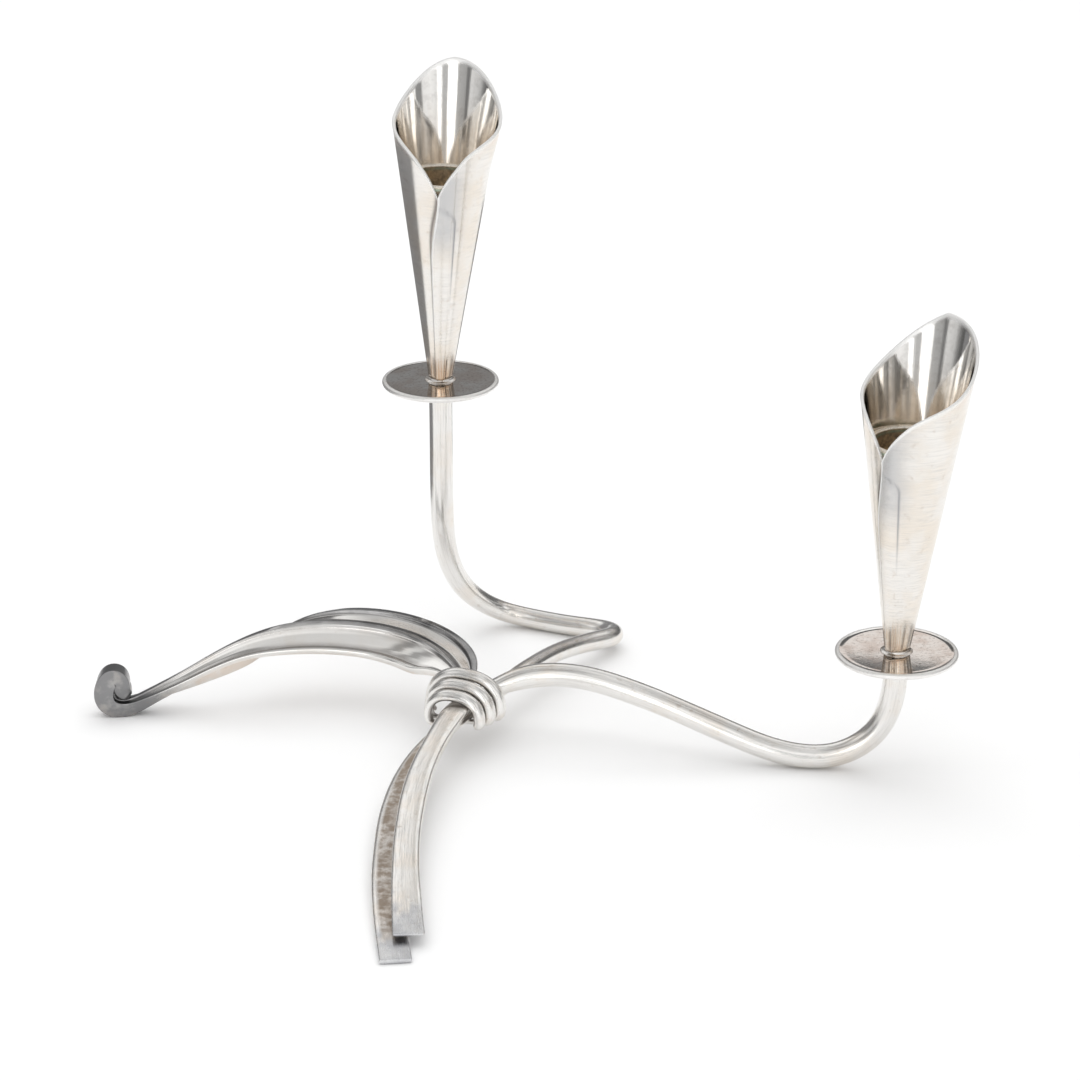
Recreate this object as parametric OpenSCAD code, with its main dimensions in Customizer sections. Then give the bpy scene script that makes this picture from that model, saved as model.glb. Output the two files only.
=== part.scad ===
// Twin candlestick: two forged stems and a fluted leaf held by a wound binding,
// each stem carrying a drip pan and a calla-shaped cup rolled from sheet.
// Millimetres. The origin is on the table, under the middle of the object.

/* [Stems] */
// Diameter of the round stem at its upright end
rod_d = 6.8; // [6.4:0.1:7.2]

/* [Drip pans] */
// Outer diameter of each drip pan
pan_d = 34; // [30:1:38]
// Thickness of a drip pan
pan_thick = 1.6; // [1.4:0.1:2]
// Height of the right pan's top face above the table
right_pan_height = 35.8; // [35.6:0.1:36]
// Height of the rear pan's top face above the table
rear_pan_height = 84; // [82:0.5:86]

/* [Cups] */
// Outer radius of the cup cone where it would meet the pan
cup_foot_r = 3.4; // [3.3:0.05:3.6]
// Growth of the cone's radius for each millimetre of height
cup_flare = 0.152; // [0.15:0.001:0.156]
// Thickness of the rolled sheet
sheet = 0.9; // [0.7:0.1:1]
// Height of the bottom of the front notch above the pan
notch_height = 58.5; // [57:0.5:61]
// How far the lip stands above the notch at its tip
lip_rise = 33.2; // [28:0.1:34]
// Lean of each cup towards the right, in degrees
cup_lean = 1.6; // [0:0.2:2.4]
// Direction that the right cup's notch faces, in degrees
right_notch_angle = 227; // [200:1:280]
// Direction that the rear cup's notch faces, in degrees
rear_notch_angle = 263; // [240:1:290]

/* [Candle sockets] */
// Diameter of the bore that holds the candle
candle_bore = 20.4; // [20:0.1:20.6]
// Depth of that bore
socket_depth = 8; // [6:0.5:8]
// Height of the socket's rim above the pan
socket_height = 61.5; // [61:0.5:63]

/* [Binding] */
// Number of turns around the stems
turns = 3; // [2:1:3]
// Distance from one turn to the next
turn_pitch = 3.7; // [3.6:0.1:3.9]
// Thickness of the binding strip, measured outwards
strip_thick = 2.2; // [2:0.1:2.3]

/* [Hidden] */

rod_r = rod_d / 2;
gap = 0.05;
pin_r = 1.6;
pin_in_stem = 5;
pin_in_plug = 3;
collar_r = 3.6;
collar_h = 1;
foot_h = collar_h + 0.15;
plug_top = 9;
socket_floor = 1.2;
socket_gap = 0.1;

// Each lip's point: its angle from the notch, its rise above the curve, and the dip beside it
right_tip = [191, 1.7, 0];
rear_tip = [176, 0, 1.2];

// Where each pan's centre stands
right_xy = [103, 4.5];
rear_xy = [-23.5, 89.5];
right_place = [right_xy[0], right_xy[1], right_pan_height];
rear_place = [rear_xy[0], rear_xy[1], rear_pan_height];
right_stem_top = right_pan_height - pan_thick;
rear_stem_top = rear_pan_height - pan_thick;

// Route of the right stem, from the end of its tail to the underside of its pan
right_route = [
  [-27.5, -98, 3.6], [-28.5, -84, 4], [-29.3, -70, 5], [-29.7, -56, 6],
  [-29.3, -42, 7], [-28.3, -28, 8.5], [-26.2, -14, 10], [-22.9, -2, 12],
  [-19.4, 9, 13.7], [-15.8, 17, 14.4], [-9.4, 22, 15.6], [-1.5, 23.2, 18.8],
  [7.5, 23.5, 20.2], [17.5, 21, 20.5], [28.5, 17.5, 18.5], [40.5, 14, 15],
  [52.5, 11, 10.5], [63.5, 8, 6.5], [74.5, 5.5, 3.4], [85.5, 4.5, 3.2],
  [94.5, 4.5, 7], [100.5, 4.5, 14], [103, 4.5, 24], [103, 4.5, right_stem_top]
];
// Its half width, half thickness and squareness at the same points
right_forms = concat([
  [4.1, 0.5, 6], [4, 0.9, 6], [3.7, 1.3, 6], [3.6, 1.5, 5],
  [3.6, 1.7, 5], [3.6, 1.8, 4.5], [3.4, 1.8, 4], [3.1, 1.7, 3.5],
  [3.8, 1.4, 2.8], [3.3, 1.5, 2.3], [2.5, 1.9, 2.2], [3.5, 3.3, 2]
], [for (i = [12:23]) [rod_r, rod_r, 2]]);
// The direction that its flat face turns to at the same points
right_faces = concat(
  [for (i = [0:17]) [0, 0, 1]],
  [[-0.1, 0, 1], [-0.3, 0, 1], [-0.6, 0, 0.8], [-1, 0, 0.5], [-1, 0, 0.1], [-1, 0, 0]]
);

// Route of the rear stem, from the end of its tail to the underside of its pan
rear_route = [
  [-30.5, -106.5, 0.8], [-32.2, -92, 1.4], [-33.7, -78, 2], [-34.5, -64, 2.6],
  [-34.5, -48, 3.3], [-34, -34, 4.2], [-32, -18, 5.6], [-28, -4, 7.6],
  [-22, 6, 10], [-17, 14, 11.4], [-11.5, 22, 11.6], [-6, 31, 12],
  [-0.5, 41, 12.2], [5.5, 52.5, 11.2], [11.5, 63.5, 9.4], [19, 74, 7.2],
  [26.5, 81, 5.6], [28, 87, 4.6], [23.5, 92, 3.6], [14.5, 96, 3],
  [4.5, 100.5, 2.9], [-5.5, 103.5, 4], [-12.5, 99, 9.5], [-18.5, 94, 17],
  [-22.5, 90.5, 28], [-23.5, 89.5, 40], [-23.5, 89.5, 54], [-23.5, 89.5, 68],
  [-23.5, 89.5, rear_stem_top]
];
rear_forms = concat([
  [4.2, 0.75, 6], [4.2, 0.9, 6], [4.1, 1.1, 6], [4, 1.2, 5],
  [4, 1.3, 5], [3.9, 1.4, 4.5], [3.7, 1.5, 4], [3.3, 1.4, 3.5],
  [3, 1.2, 3], [2.9, 1.2, 2.5], [2.9, 1.5, 2.3], [2.7, 2.2, 2],
  [2.6, 2.6, 2], [2.65, 2.65, 2], [2.7, 2.7, 2], [2.8, 2.8, 2]
], [for (i = [16:21]) [3, 3, 2]],
   [[3.05, 3.05, 2], [3.15, 3.15, 2], [3.3, 3.3, 2]],
   [for (i = [25:28]) [rod_r, rod_r, 2]]);
rear_faces = concat(
  [for (i = [0:19]) [0, 0, 1]],
  [[0.1, 0, 1], [0.3, 0, 1], [0.5, 0.1, 0.9], [0.8, 0.2, 0.7], [0.9, 0.1, 0.3], [1, 0, 0.1],
   [1, 0, 0], [1, 0, 0], [1, 0, 0]]
);

// Route of the leaf's middle rib, from its root in the binding to its curled tip
leaf_route = [
  [-16, 20.5, 17.9], [-16.7, 24.5, 18.2], [-18.9, 29.5, 18.7], [-22.5, 38, 19.4],
  [-30.5, 44.5, 21.6], [-42.5, 47.5, 23.8], [-56.5, 48, 24.6], [-68.5, 47, 24],
  [-79.5, 45.5, 21], [-88.5, 44, 16.6], [-97.5, 42.5, 11], [-106.5, 41, 5.6],
  [-113, 40, 1.8], [-118.2, 39.5, 2.9], [-119.5, 39.5, 7.6], [-117.4, 40, 12.8],
  [-113.8, 40.3, 11.6], [-113.4, 40.6, 7.4], [-110.2, 41, 6.5]
];
// At each point: near half width, far half width, near slope, far slope, thickness, bead height
leaf_forms = [
  [2.6, 3, 8, 8, 1.2, 0.1], [2, 4, 10, 4, 1.2, 0.1], [4.8, 8, 10, -6, 1.4, 0.9], [9.8, 9, 24, -16, 1.6, 1.1],
  [9.6, 8.8, 38, -20, 1.6, 1.1], [9, 8.4, 46, -18, 1.6, 1.1], [8.6, 8.4, 48, -6, 1.6, 1.1],
  [8, 8.4, 49, 34, 1.6, 1], [6, 8.6, 46, 80, 1.7, 0.9], [4.5, 7.6, 45, 85, 1.8, 0.7],
  [3.6, 5.4, 40, 75, 2.2, 0.5], [3, 3.6, 20, 35, 3, 0.3],
  [2.6, 2.8, 8, 8, 4.2, 0.2], [2.7, 2.7, 0, 0, 5, 0.1], [2.9, 2.9, 0, 0, 5.6, 0.1], [3, 3, 0, 0, 5.2, 0.1],
  [2.9, 2.9, 0, 0, 4.2, 0.1], [2.6, 2.6, 0, 0, 3, 0.1], [2, 2, 0, 0, 1.8, 0.1]
];
leaf_faces = concat(
  [for (i = [0:11]) [0, 0, 1]],
  [[0, 0, 1], [0.6, 0, 0.8], [1, 0, 0.1], [0.7, 0, -0.7], [-0.3, 0, -1], [-1, 0, -0.4], [-0.4, 0, -1]]
);

// Middle of the first turn of the binding, and how the later turns step back, up and out
knot_start = [-18.5, 15, 10.4];
knot_heading = 66;
knot_turn_rise = 0.5;
knot_first_r = 8.5;
knot_turn_growth = 1.3;
knot_floor = 8.2;
knot_sag = 1.2;
knot_end = 0.17;
knot_step_share = 0.18;
run_thick = 0.6;
strip_width = turn_pitch - 0.1;

// ---- curves ----

// Weights of a uniform cubic B-spline at fraction f of a span
function weights(f) = [
  pow(1 - f, 3) / 6,
  (3 * pow(f, 3) - 6 * pow(f, 2) + 4) / 6,
  (-3 * pow(f, 3) + 3 * pow(f, 2) + 3 * f + 1) / 6,
  pow(f, 3) / 6
];

// List item i, carried on in a straight line past either end
function item(list, i) =
  i < 0 ? 2 * list[0] - list[1] :
  i >= len(list) ? 2 * list[len(list) - 1] - list[len(list) - 2] :
  list[i];

// Value of the open spline at t, from 0 at the first item to 1 at the last
function along(list, t) =
  let (span = min(floor(t * (len(list) - 1)), len(list) - 2))
  let (w = weights(t * (len(list) - 1) - span))
  w[0] * item(list, span - 1) + w[1] * item(list, span)
  + w[2] * item(list, span + 1) + w[3] * item(list, span + 2);

// Value of the closed spline at t, from 0 to 1 once around
function around(list, t) =
  let (n = len(list), span = floor(t * n), w = weights(t * n - span))
  w[0] * list[(span + n - 1) % n] + w[1] * list[span % n]
  + w[2] * list[(span + 1) % n] + w[3] * list[(span + 2) % n];

function unit(v) = v / norm(v);

// Side and face directions of the section at t
function heading(route, t) =
  unit(along(route, min(1, t + 0.001)) - along(route, max(0, t - 0.001)));
function side_at(route, faces, t) = unit(cross(heading(route, t), along(faces, t)));
function face_at(route, faces, t) = cross(side_at(route, faces, t), heading(route, t));

// A section point [x, y] set across the route at t
function set_across(route, faces, t, p) =
  along(route, t) + p[0] * side_at(route, faces, t) + p[1] * face_at(route, faces, t);

// Rounded rectangle of half sizes a and b; squareness 2 is an ellipse
function rounded(a, b, squareness, angle) =
  let (x = cos(angle), y = sin(angle))
  let (r = pow(pow(abs(x), squareness) + pow(abs(y), squareness), -1 / squareness))
  [a * x * r, b * y * r];

// Closed skin over rings of equal point count, with flat end caps
module skin(rings) {
  n = len(rings[0]);
  m = len(rings);
  points = [for (ring = rings) for (p = ring) p];
  walls = [
    for (k = [0:m - 2])
      for (i = [0:n - 1])
        for (tri = [[0, (i + 1) % n - i, n + (i + 1) % n - i], [0, n + (i + 1) % n - i, n]])
          [for (step = tri) k * n + i + step]
  ];
  ends = [[for (i = [n - 1:-1:0]) i], [for (i = [0:n - 1]) (m - 1) * n + i]];
  polyhedron(points, concat(walls, ends), convexity = 8);
}

// ---- stems ----

stem_sides = 20;

module stem(route, forms, faces, rings) {
  skin([
    for (k = [0:rings])
      let (t = k / rings, form = along(forms, t))
      [for (i = [0:stem_sides - 1])
        set_across(route, faces, t, rounded(form[0], form[1], form[2], (i + 0.5) * 360 / stem_sides))]
  ]);
}

module pin_hole(place) {
  translate([place[0], place[1], place[2] - pan_thick - pin_in_stem - gap])
    cylinder(r = pin_r + gap, h = pin_in_stem + 1, $fn = 48);
}

module right_stem() {
  color("silver") difference() {
    stem(right_route, right_forms, right_faces, 72);
    pin_hole(right_place);
  }
}

module rear_stem() {
  color("silver") difference() {
    stem(rear_route, rear_forms, rear_faces, 80);
    pin_hole(rear_place);
  }
}

// ---- leaf ----

// A point at share l of one half's width and height h above its middle surface
function half_point(way, width, slope, l, h) =
  [way * (l * width * cos(slope) + h * sin(slope)), h * cos(slope) - l * width * sin(slope)];

// Outline of the leaf: beads on both edges and on the middle rib, flutes between, plain beneath
function leaf_outline(form) =
  let (near = form[0], far = form[1], dn = form[2], df = form[3], t = form[4] / 2, b = form[5])
  let (bn = 1 - 2.2 * b / near, bf = 1 - 2.2 * b / far)
  [
    half_point(-1, near, dn, 1, -t), half_point(-1, near, dn, 1, t + b),
    half_point(-1, near, dn, bn, t + b), half_point(-1, near, dn, 0.55, t * 0.6),
    half_point(-1, near, dn, 0.25, t),
    [0, t + 0.9 * b],
    half_point(1, far, df, 0.25, t), half_point(1, far, df, 0.55, t * 0.6),
    half_point(1, far, df, bf, t + b), half_point(1, far, df, 1, t + 0.3 * b),
    half_point(1, far, df, 1, -t), half_point(1, far, df, 0.6, -t), half_point(1, far, df, 0.2, -t),
    half_point(-1, near, dn, 0.2, -t), half_point(-1, near, dn, 0.6, -t)
  ];

leaf_sides = 36;
leaf_rings = 60;

module leaf() {
  color("silver") skin([
    for (k = [0:leaf_rings])
      let (t = k / leaf_rings, outline = leaf_outline(along(leaf_forms, t)))
      [for (i = [leaf_sides - 1:-1:0])
        set_across(leaf_route, leaf_faces, t, around(outline, i / leaf_sides))]
  ]);
}

// ---- binding ----

knot_steps = 30;

// Inner line of one turn: an arch, two short legs and a flat run beneath
function turn_outline(r, drop) = [
  [0, r], [r * 0.48, r * 0.98], [r * 0.92, r * 0.78], [r * 1.14, r * 0.4], [r * 1.16, 0],
  [r * 1.1, -drop], [r * 0.8, -drop], [r * 0.4, -drop], [0, -drop],
  [-r * 0.4, -drop], [-r * 0.8, -drop - knot_sag], [-r * 1.12, -drop - knot_sag],
  [-r * 1.14, 0], [-r * 1.08, r * 0.4], [-r * 0.84, r * 0.76], [-r * 0.44, r * 0.97]
];

// How many turns back the strip stands at s turns along: it steps back only beneath
function knot_step(s) =
  let (turn = floor(s), f = s - turn)
  let (back = max(0, (f + knot_step_share - 1) / knot_step_share) - max(0, 1 - f / knot_step_share))
  max(0, min(turns - 1, turn + back / 2));

// Share of full width and thickness at s turns along: the strip is hammered thinner beneath
function knot_share(s) = 1 - (1 - run_thick) * smooth((abs(s - floor(s) - 0.5) - 0.24) / 0.12);

knot_back = [cos(knot_heading), sin(knot_heading), 0];
knot_side = [knot_back[1], -knot_back[0], 0];

// Place of the strip's inner face at s turns along, starting beneath
function knot_point(s) =
  let (step = knot_step(s), rise = knot_turn_rise * step)
  let (r = knot_first_r + knot_turn_growth * step - strip_thick)
  let (drop = knot_start[2] + rise - knot_floor - strip_thick * run_thick)
  let (p = around(turn_outline(r, drop), (turns + 0.5 - s) % 1))
  knot_start + knot_back * turn_pitch * step + knot_side * p[0] + [0, 0, p[1] + rise];

// Half-round section of the strip, flat towards the stems and leaning with the growth of the turns
strip_section = concat(
  [for (a = [0:22.5:180]) [strip_width / 2 * cos(a), strip_thick * (0.3 + 0.7 * sin(a))]],
  [[-strip_width / 2 + 0.2, 0], [strip_width / 2 - 0.2, 0]]
);
strip_slope = knot_turn_growth / turn_pitch;

module knot_binding() {
  n = turns * knot_steps;
  color("silver") skin([
    for (k = [0:n])
      let (s = knot_end + (turns - 2 * knot_end) * k / n)
      let (d = unit(knot_point(s + 0.004) - knot_point(s - 0.004)))
      let (up = unit(cross(knot_back, d)), level = cross(d, up))
      let (across = unit(level + strip_slope * up), out = cross(across, d), share = knot_share(s))
      [for (q = strip_section) knot_point(s) + q[0] * (0.9 + 0.1 * share) * across + q[1] * share * out]
  ]);
}

// ---- pans, collars, pins ----

module drip_pan(place) {
  translate(place) rotate_extrude($fn = 120)
    polygon([
      [pin_r + gap, -pan_thick], [pan_d / 2 - 0.9, -pan_thick], [pan_d / 2 - 0.25, -pan_thick * 0.78],
      [pan_d / 2, -pan_thick * 0.45], [pan_d / 2 - 0.2, -0.1], [pan_d / 2 - 0.7, 0.15],
      [pan_d / 2 - 1.8, 0], [pin_r + gap, 0]
    ]);
}

module cup_collar(place) {
  translate(place) difference() {
    cylinder(r = collar_r, h = collar_h, $fn = 64);
    translate([0, 0, -1]) cylinder(r = pin_r + gap, h = collar_h + 2, $fn = 48);
  }
}

module cup_pin(place) {
  translate([place[0], place[1], place[2] - pan_thick - pin_in_stem])
    cylinder(r = pin_r, h = pin_in_stem + pan_thick + foot_h + pin_in_plug, $fn = 48);
}

// ---- cups ----

cup_steps = 60;
cup_rows = 6;
lap_outer = -11;
lap_inner = 17;

function cone_r(h) = cup_foot_r + cup_flare * h;
function smooth(x) = let (y = max(0, min(1, x))) y * y * (3 - 2 * y);

// Height of the lip at an angle from the notch
function lip(angle, tip) =
  let (a = angle > 360 ? 0 : angle > 180 ? 360 - angle : max(0, angle))
  notch_height + lip_rise * (0.55 * (1 - exp(-a / 32)) + 0.45 * pow((1 - cos(a)) / 2, 3))
  + tip[1] * exp(-abs(angle - tip[0]) / 18) - (angle > 180 ? tip[2] * max(0, sin(2 * angle)) : 0);

// The outer flap stands off the inner one and comes back to the cone
function flap(angle) = (sheet + 0.12) * (1 - smooth((angle - 20) / 42));

// A place on the rolled sheet: share u around it, share v up it, depth w into it
function cup_place(u, v, w, tip) =
  let (start = lap_outer * smooth((1 - v) / 0.35), angle = start + u * (360 + lap_inner - start))
  let (h = foot_h + v * (lip(angle, tip) - foot_h), r = cone_r(h) + flap(angle) - w)
  [r * cos(angle), r * sin(angle), h];

module cup_sheet(tip) {
  n = 2 * (cup_rows + 1);
  skin([
    for (k = [0:cup_steps])
      [for (i = [0:n - 1])
        i <= cup_rows ? cup_place(k / cup_steps, i / cup_rows, 0, tip)
                      : cup_place(k / cup_steps, (n - 1 - i) / cup_rows, sheet, tip)]
  ]);
}

module lean(place) {
  translate(place) rotate([0, cup_lean, 0]) children();
}

module cup(place, notch_angle, tip) {
  lean(place) rotate([0, 0, notch_angle]) cup_sheet(tip);
}

module cup_plug(place) {
  difference() {
    lean(place) translate([0, 0, foot_h])
      cylinder(r1 = cone_r(foot_h) - sheet - gap, r2 = cone_r(plug_top) - sheet - gap,
               h = plug_top - foot_h, $fn = 64);
    translate(place) cylinder(r = pin_r + gap, h = foot_h + pin_in_plug + gap, $fn = 48);
  }
}

module candle_socket(place) {
  bottom = socket_height - socket_depth - socket_floor;
  lean(place) difference() {
    translate([0, 0, bottom])
      cylinder(r1 = cone_r(bottom) - sheet - socket_gap, r2 = cone_r(socket_height) - sheet - socket_gap,
               h = socket_height - bottom, $fn = 96);
    translate([0, 0, bottom + socket_floor])
      cylinder(d = candle_bore, h = socket_depth + 1, $fn = 96);
  }
}

module drip_pan_right() { color("silver") drip_pan(right_place); }
module drip_pan_rear() { color("silver") drip_pan(rear_place); }
module cup_collar_right() { color("gainsboro") cup_collar(right_place); }
module cup_collar_rear() { color("gainsboro") cup_collar(rear_place); }
module cup_right() { color("silver") cup(right_place, right_notch_angle, right_tip); }
module cup_rear() { color("silver") cup(rear_place, rear_notch_angle, rear_tip); }
module cup_plug_right() { color("darkgray") cup_plug(right_place); }
module cup_plug_rear() { color("darkgray") cup_plug(rear_place); }
module cup_pin_right() { color("darkgray") cup_pin(right_place); }
module cup_pin_rear() { color("darkgray") cup_pin(rear_place); }
module candle_socket_right() { color("tan") candle_socket(right_place); }
module candle_socket_rear() { color("tan") candle_socket(rear_place); }

right_stem();
rear_stem();
leaf();
knot_binding();
drip_pan_right();
drip_pan_rear();
cup_collar_right();
cup_collar_rear();
cup_right();
cup_rear();
cup_plug_right();
cup_plug_rear();
cup_pin_right();
cup_pin_rear();
candle_socket_right();
candle_socket_rear();
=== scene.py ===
"""Looks of the silver candlestick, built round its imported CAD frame.

Two forged stems, a fluted leaf, a wound binding, two drip pans with solder collars, and two cups
rolled from sheet with candle sockets inside. Each piece follows the CAD's own curves at a finer
step. It departs from them a little in the leaf's closed curl, the flatter pan tops, the creases in
the cups, the rear cup's bent lip, rounded edges and a slight unevenness, all inside the CAD's box.
The plugs and pins inside the cups keep the CAD's own meshes.
Shapes are worked out in millimetres and set in metres.
"""

import math

import bpy
import numpy as np
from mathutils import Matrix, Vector


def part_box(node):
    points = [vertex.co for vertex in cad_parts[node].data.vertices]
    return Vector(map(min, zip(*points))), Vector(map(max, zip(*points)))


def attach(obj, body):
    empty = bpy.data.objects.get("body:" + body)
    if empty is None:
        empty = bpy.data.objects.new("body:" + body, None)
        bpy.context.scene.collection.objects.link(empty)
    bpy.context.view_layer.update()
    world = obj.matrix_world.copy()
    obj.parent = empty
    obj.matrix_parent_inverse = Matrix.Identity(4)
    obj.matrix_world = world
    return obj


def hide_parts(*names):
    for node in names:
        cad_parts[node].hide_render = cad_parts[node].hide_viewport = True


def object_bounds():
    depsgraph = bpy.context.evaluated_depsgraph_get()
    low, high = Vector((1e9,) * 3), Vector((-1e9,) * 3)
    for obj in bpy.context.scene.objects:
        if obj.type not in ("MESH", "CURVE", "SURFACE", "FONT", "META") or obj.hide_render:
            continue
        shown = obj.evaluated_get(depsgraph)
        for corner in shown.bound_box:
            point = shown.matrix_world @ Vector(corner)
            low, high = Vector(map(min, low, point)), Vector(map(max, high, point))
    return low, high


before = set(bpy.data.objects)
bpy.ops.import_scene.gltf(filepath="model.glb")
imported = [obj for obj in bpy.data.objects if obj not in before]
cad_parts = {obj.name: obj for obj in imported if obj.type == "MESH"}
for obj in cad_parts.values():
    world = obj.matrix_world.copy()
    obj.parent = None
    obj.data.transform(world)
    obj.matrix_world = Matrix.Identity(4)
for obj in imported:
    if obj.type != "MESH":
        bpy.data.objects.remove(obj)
cad_low, cad_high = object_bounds()

MM = 0.001

# ---------------------------------------------------------------- driving sizes, in millimetres
ROD_R = 3.4
PAN_R = 17.0
PAN_THICK = 1.6
PIN_HOLE_R = 1.65
COLLAR_R = 3.6
COLLAR_H = 1.0
FOOT_H = 1.15
SHEET = 0.9
CUP_FOOT_R = 3.4
CUP_FLARE = 0.152
NOTCH_H = 58.5
LIP_RISE = 33.2
LEAN = math.radians(1.6)
LAP_OUTER = -11.0
LAP_INNER = 17.0
STAND_OFF = SHEET + 0.12
BORE_R = 10.2
SOCKET_H = 61.5
SOCKET_DEPTH = 8.0
SOCKET_FLOOR = 1.2
TURNS = 3
TURN_PITCH = 3.7
STRIP_THICK = 2.2
STRIP_WIDTH = TURN_PITCH - 0.1
NOTCH_ANGLE = {"right": 227.0, "rear": 263.0}
# each lip's point: its angle from the notch, its rise above the curve, and the dip beside it
TIP = {"right": (191.0, 1.7, 0.0), "rear": (176.0, 0.0, 1.2)}


def pan_top(side):
    """Middle of a drip pan's top face, in millimetres."""
    low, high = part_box("drip_pan_" + side)
    pan_lip = 0.15
    return np.array([(low.x + high.x) / 2, (low.y + high.y) / 2, high.z]) / MM - [0, 0, pan_lip]


PLACE = {side: pan_top(side) for side in ("right", "rear")}
STEM_TOP = {side: PLACE[side][2] - PAN_THICK for side in PLACE}

# ---------------------------------------------------------------- curves


def spline(points, t):
    """Uniform cubic B-spline guided by a list of points, from the first (t = 0) to the last (1)."""
    p = np.asarray(points, float)
    p = np.vstack([2 * p[0] - p[1], p, 2 * p[-1] - p[-2]])
    n = len(p) - 2
    x = np.asarray(t, float) * (n - 1)
    span = np.clip(np.floor(x).astype(int), 0, n - 2)
    f = (x - span)[:, None]
    weights = [
        (1 - f) ** 3 / 6,
        (3 * f**3 - 6 * f**2 + 4) / 6,
        (-3 * f**3 + 3 * f**2 + 3 * f + 1) / 6,
        f**3 / 6,
    ]
    return sum(w * p[span + k] for k, w in enumerate(weights))


def closed_spline(points, t):
    """The same spline closed on itself; points has shape (rings, n, d) and t has shape (m,)."""
    n = points.shape[1]
    x = np.asarray(t, float) * n
    span = np.floor(x).astype(int)
    f = (x - span)[None, :, None]
    weights = [
        (1 - f) ** 3 / 6,
        (3 * f**3 - 6 * f**2 + 4) / 6,
        (-3 * f**3 + 3 * f**2 + 3 * f + 1) / 6,
        f**3 / 6,
    ]
    return sum(w * points[:, (span + k - 1) % n] for k, w in enumerate(weights))


def unit(v):
    return v / np.linalg.norm(v, axis=-1, keepdims=True)


def route_frames(route, faces, t):
    """Place, side and face directions along a route."""
    ahead = spline(route, np.minimum(t + 0.001, 1)) - spline(route, np.maximum(t - 0.001, 0))
    heading = unit(ahead)
    side = unit(np.cross(heading, spline(faces, t)))
    return spline(route, t), side, np.cross(side, heading)


def lengths(place):
    """Distance along a line of points."""
    return np.r_[0, np.cumsum(np.linalg.norm(np.diff(place, axis=0), axis=1))]


def even_steps(route, count):
    """Values of t that step evenly along a route, closer together at its two ends."""
    t = np.linspace(0, 1, 2000)
    s = lengths(spline(route, t))
    share = np.linspace(0, 1, count)
    ends = np.array([0, 0.05, 0.12, 0.2, 0.3, 0.45, 0.65, 0.85]) / count
    share = np.unique(np.r_[ends, share, 1 - ends])
    return np.interp(share * s[-1], s, t)


def smooth(x):
    x = np.clip(x, 0, 1)
    return x * x * (3 - 2 * x)


def ripple(a, b, seed, waves=7):
    """Gentle seeded unevenness, from about -1 to 1, over two coordinates."""
    rng = np.random.default_rng(seed)
    total = 0
    for _ in range(waves):
        ka, kb = rng.uniform(-1, 1, 2)
        total = total + np.sin(ka * a + kb * b + rng.uniform(0, 2 * math.pi))
    return total / waves * 1.4


# ---------------------------------------------------------------- meshes


def skin(name, rings, uv, values=None, closed=False):
    """A smooth closed mesh over rings of points (rings, n, 3), in millimetres.

    values are numbers for each point, which the materials read as attributes. closed joins the last
    ring to the first; otherwise both ends are capped.
    """
    m, n, _ = rings.shape
    index = np.arange(m * n).reshape(m, n)
    rows = m if closed else m - 1
    nxt = np.roll(index, -1, axis=0)
    quads = np.stack(
        [
            index[:rows],
            np.roll(index, -1, axis=1)[:rows],
            np.roll(nxt, -1, axis=1)[:rows],
            nxt[:rows],
        ],
        axis=-1,
    ).reshape(-1, 4)
    faces = quads.tolist()
    points = rings.reshape(-1, 3)
    if not closed:
        start, end = len(points), len(points) + 1
        points = np.vstack([points, rings[0].mean(0), rings[-1].mean(0)])
        faces += [[start, int(index[0, (i + 1) % n]), int(index[0, i])] for i in range(n)]
        faces += [[end, int(index[-1, i]), int(index[-1, (i + 1) % n])] for i in range(n)]
    mesh = bpy.data.meshes.new(name)
    mesh.from_pydata((points * MM).tolist(), [], faces)
    mesh.polygons.foreach_set("use_smooth", [True] * len(mesh.polygons))
    layer = mesh.uv_layers.new(name="lay")
    flat = np.zeros((len(points), 2))
    flat[: m * n] = uv.reshape(-1, 2)
    if not closed:
        flat[-2], flat[-1] = uv[0].mean(0), uv[-1].mean(0)
    loops = np.zeros(len(mesh.loops), int)
    mesh.loops.foreach_get("vertex_index", loops)
    corner = flat[loops]
    # the last strip of faces round each ring carries on past the seam
    across = uv[:, -1, 0].max() * n / (n - 1)
    per_face = corner[: len(quads) * 4].reshape(-1, 4, 2)
    seam = np.arange(len(quads)) % n == n - 1
    per_face[seam, 1, 0] += across
    per_face[seam, 2, 0] += across
    corner[: len(quads) * 4] = per_face.reshape(-1, 2)
    layer.data.foreach_set("uv", corner.astype(np.float32).ravel())
    for key, value in (values or {}).items():
        data = np.zeros(len(points), np.float32)
        data[: m * n] = np.broadcast_to(value, (m, n)).ravel()
        if not closed:
            data[-2], data[-1] = data[0], data[m * n - 1]
        mesh.attributes.new(key, "FLOAT", "POINT").data.foreach_set("value", data)
    mesh.validate()
    piece = bpy.data.objects.new(name, mesh)
    bpy.context.scene.collection.objects.link(piece)
    return piece


def finish_piece(piece, material, slot, *nodes):
    piece.data.materials.append(material)
    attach(piece, "root")
    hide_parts(*nodes)


def rounded(a, b, squareness, angle):
    """Rounded rectangles of half widths a and b, of shape (m, 1); squareness 2 is an ellipse."""
    x, y = np.cos(angle)[None, :], np.sin(angle)[None, :]
    r = (np.abs(x) ** squareness + np.abs(y) ** squareness) ** (-1 / squareness)
    return a * x * r, b * y * r


def end_round(s, radius, both=True):
    """How far the section shrinks at distance s from a rounded end."""
    total = s[-1]
    near = np.minimum(s, total - s) if both else s
    x = np.clip(1 - near / radius, 0, 1)
    return radius * (1 - np.sqrt(np.clip(1 - x * x, 0, 1)))


# ---------------------------------------------------------------- stems

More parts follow.
